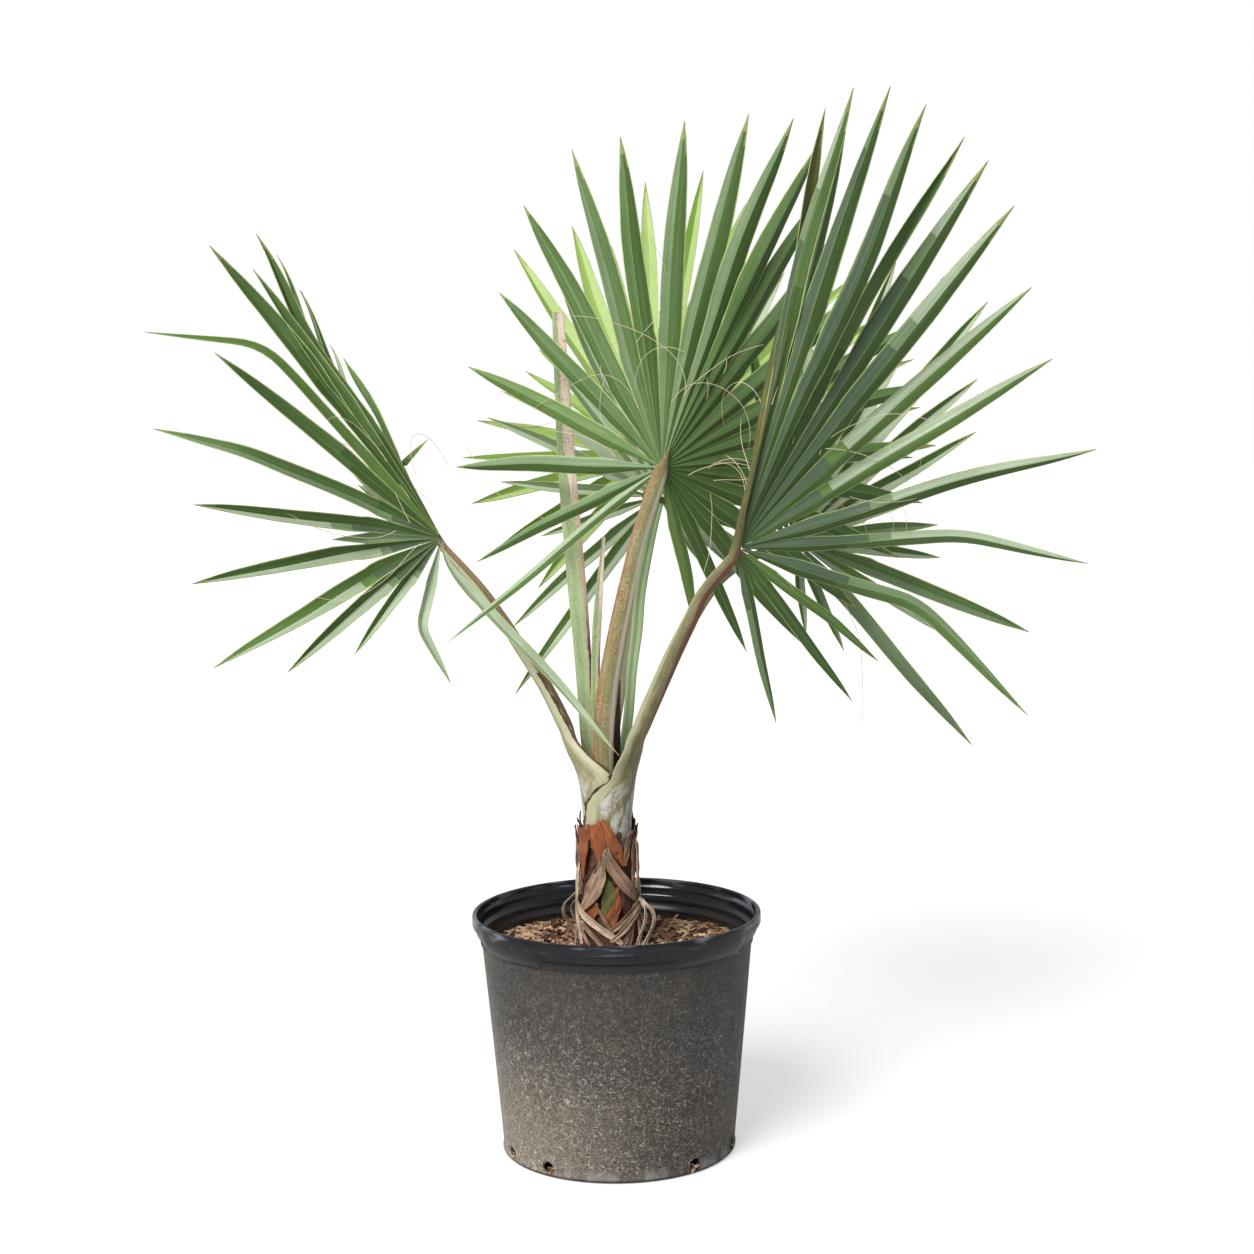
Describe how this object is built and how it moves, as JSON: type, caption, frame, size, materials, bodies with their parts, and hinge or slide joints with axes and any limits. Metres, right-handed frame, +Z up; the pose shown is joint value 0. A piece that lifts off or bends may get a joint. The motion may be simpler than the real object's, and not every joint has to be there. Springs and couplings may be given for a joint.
{
  "type": "potted fan palm",
  "caption": "Young fan palm in a round nursery pot: short trunk wrapped in old leaf bases, arching stalks and stiff fan-shaped fronds of folded leaflets.",
  "frame": {"origin": "centre of the flat underside of the pot", "axes": "+Z up along the pot's axis; -Y toward the side the plant is looked at from, +X to that viewer's right"},
  "size_m": [1.3477, 1.4102, 1.5808],
  "materials": {
    "pot": "weathered satin",
    "bark_mulch": "rough chips",
    "trunk": "rough fibrous",
    "crown_sheath": "smooth, scurfy",
    "leaf_base_inner_1": "dry, ragged",
    "leaf_base_inner_2": "dry, ragged",
    "leaf_base_inner_3": "dry, ragged",
    "leaf_base_inner_4": "dry, ragged",
    "leaf_base_outer_1": "dry, ragged",
    "leaf_base_outer_2": "dry, ragged",
    "leaf_base_outer_3": "dry, ragged",
    "leaf_base_outer_4": "dry, ragged",
    "dry_strip_1": "dry, papery",
    "dry_strip_2": "dry, papery",
    "dry_strip_3": "dry, papery",
    "dry_strip_4": "dry, papery",
    "stalk_left": "waxy with brown scurf",
    "stalk_front": "waxy with brown scurf",
    "stalk_right": "waxy with brown scurf",
    "stalk_back": "waxy with brown scurf",
    "stalk_middle": "waxy with brown scurf",
    "stalk_back_right": "waxy with brown scurf",
    "frond_left": "waxy leaf",
    "frond_front": "waxy leaf",
    "frond_right": "waxy leaf",
    "frond_back": "waxy leaf",
    "frond_middle": "waxy leaf",
    "frond_back_right": "waxy leaf",
    "spear_leaf": "waxy leaf, dry margin",
    "young_spike": "young leaf"
  },
  "bodies": {
    "root": {"pot": "pot", "bark_mulch": "bark_mulch", "trunk": "trunk", "crown_sheath": "crown_sheath", "leaf_base_inner_1": "leaf_base_inner_1", "leaf_base_inner_2": "leaf_base_inner_2", "leaf_base_inner_3": "leaf_base_inner_3", "leaf_base_inner_4": "leaf_base_inner_4", "leaf_base_outer_1": "leaf_base_outer_1", "leaf_base_outer_2": "leaf_base_outer_2", "leaf_base_outer_3": "leaf_base_outer_3", "leaf_base_outer_4": "leaf_base_outer_4", "dry_strip_1": "dry_strip_1", "dry_strip_2": "dry_strip_2", "dry_strip_3": "dry_strip_3", "dry_strip_4": "dry_strip_4", "stalk_left": "stalk_left", "stalk_front": "stalk_front", "stalk_right": "stalk_right", "stalk_back": "stalk_back", "stalk_middle": "stalk_middle", "stalk_back_right": "stalk_back_right", "frond_left": "frond_left", "frond_front": "frond_front", "frond_right": "frond_right", "frond_back": "frond_back", "frond_middle": "frond_middle", "frond_back_right": "frond_back_right", "spear_leaf": "spear_leaf", "young_spike": "young_spike"}
  },
  "joints": []
}
